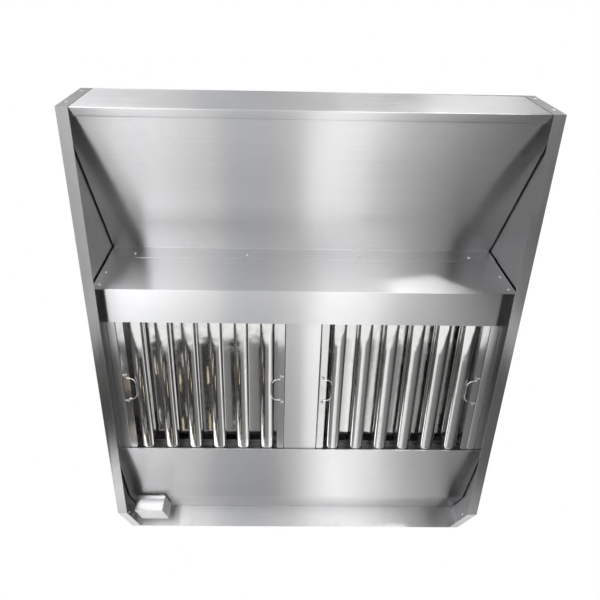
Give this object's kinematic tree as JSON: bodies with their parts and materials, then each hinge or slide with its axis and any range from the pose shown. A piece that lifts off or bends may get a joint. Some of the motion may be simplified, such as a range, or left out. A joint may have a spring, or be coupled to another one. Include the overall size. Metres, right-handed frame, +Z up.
{
  "type": "commercial canopy hood",
  "caption": "Wall-mounted stainless steel canopy hood with lift-out baffle filters, a grease trough and a removable grease cup.",
  "frame": {"origin": "middle of the four hanger holes, level with the top of the hangers' ledges", "axes": "+Z up, the open front faces -Y, the wall is on the +Y side, +X to the right seen from the front"},
  "size_m": [1.219, 1.2604, 0.838],
  "materials": {
    "brushed_stainless": "brushed",
    "polished_stainless": "polished",
    "filter_frame_stainless": "satin",
    "galvanised_steel": "galvanised",
    "fasteners": "plain"
  },
  "bodies": {
    "hood": {"left_end_panel": "brushed_stainless", "right_end_panel": "brushed_stainless", "fascia": "brushed_stainless", "corner_fasteners": "fasteners", "top_panel": "brushed_stainless", "back_panel": "brushed_stainless", "front_stiffener": "galvanised_steel", "rear_stiffener": "galvanised_steel", "foot_bolts": "fasteners", "foot_nuts": "fasteners", "exhaust_collar": "galvanised_steel", "collar_ring": "galvanised_steel", "ceiling_panel": "brushed_stainless", "ceiling_stiffener": "galvanised_steel", "ceiling_screws": "fasteners", "plenum_front": "brushed_stainless", "plenum_left_side": "brushed_stainless", "plenum_right_side": "brushed_stainless", "plenum_screws": "fasteners", "grease_trough": "brushed_stainless", "drain_ferrule": "brushed_stainless", "upper_left_channel": "brushed_stainless", "upper_right_channel": "brushed_stainless", "lower_left_channel": "brushed_stainless", "lower_right_channel": "brushed_stainless", "centre_blank": "brushed_stainless", "left_blank": "brushed_stainless", "right_blank": "brushed_stainless", "cup_left_rail": "brushed_stainless", "cup_right_rail": "brushed_stainless", "hanger_front_left": "galvanised_steel", "hanger_front_right": "galvanised_steel", "hanger_rear_left": "galvanised_steel", "hanger_rear_right": "galvanised_steel"},
    "cup": {"grease_cup": "brushed_stainless"},
    "left_filter": {"left_filter_left_rail": "filter_frame_stainless", "left_filter_right_rail": "filter_frame_stainless", "left_filter_upper_rail": "filter_frame_stainless", "left_filter_lower_rail": "filter_frame_stainless", "left_filter_front_baffles": "polished_stainless", "left_filter_rear_baffles": "polished_stainless", "left_filter_tie_straps": "filter_frame_stainless", "left_filter_handle_eyes": "filter_frame_stainless", "left_filter_eye_rivets": "fasteners"},
    "left_filter_left_handle": {"left_filter_left_handle": "polished_stainless"},
    "left_filter_right_handle": {"left_filter_right_handle": "polished_stainless"},
    "right_filter": {"right_filter_left_rail": "filter_frame_stainless", "right_filter_right_rail": "filter_frame_stainless", "right_filter_upper_rail": "filter_frame_stainless", "right_filter_lower_rail": "filter_frame_stainless", "right_filter_front_baffles": "polished_stainless", "right_filter_rear_baffles": "polished_stainless", "right_filter_tie_straps": "filter_frame_stainless", "right_filter_handle_eyes": "filter_frame_stainless", "right_filter_eye_rivets": "fasteners"},
    "right_filter_left_handle": {"right_filter_left_handle": "polished_stainless"},
    "right_filter_right_handle": {"right_filter_right_handle": "polished_stainless"}
  },
  "joints": [
    {"name": "left_filter_lift", "type": "slide", "parent": "hood", "child": "left_filter", "axis": [0, -0.8821, 0.471], "range_m": [0, 0.025]},
    {"name": "left_filter_left_handle_pivot", "type": "hinge", "parent": "left_filter", "child": "left_filter_left_handle", "pos_m": [-0.54, 0.06636, -0.5301], "axis": [0, 0.8821, -0.471], "range_deg": [0, 180]},
    {"name": "left_filter_right_handle_pivot", "type": "hinge", "parent": "left_filter", "child": "left_filter_right_handle", "pos_m": [-0.066, 0.06636, -0.5301], "axis": [0, -0.8821, 0.471], "range_deg": [0, 180]},
    {"name": "right_filter_lift", "type": "slide", "parent": "hood", "child": "right_filter", "axis": [0, -0.8821, 0.471], "range_m": [0, 0.025]},
    {"name": "right_filter_left_handle_pivot", "type": "hinge", "parent": "right_filter", "child": "right_filter_left_handle", "pos_m": [0.066, 0.06636, -0.5301], "axis": [0, 0.8821, -0.471], "range_deg": [0, 180]},
    {"name": "right_filter_right_handle_pivot", "type": "hinge", "parent": "right_filter", "child": "right_filter_right_handle", "pos_m": [0.54, 0.06636, -0.5301], "axis": [0, -0.8821, 0.471], "range_deg": [0, 180]},
    {"name": "cup_slide", "type": "slide", "parent": "hood", "child": "cup", "axis": [0, -1, 0], "range_m": [0, 0.1]}
  ]
}
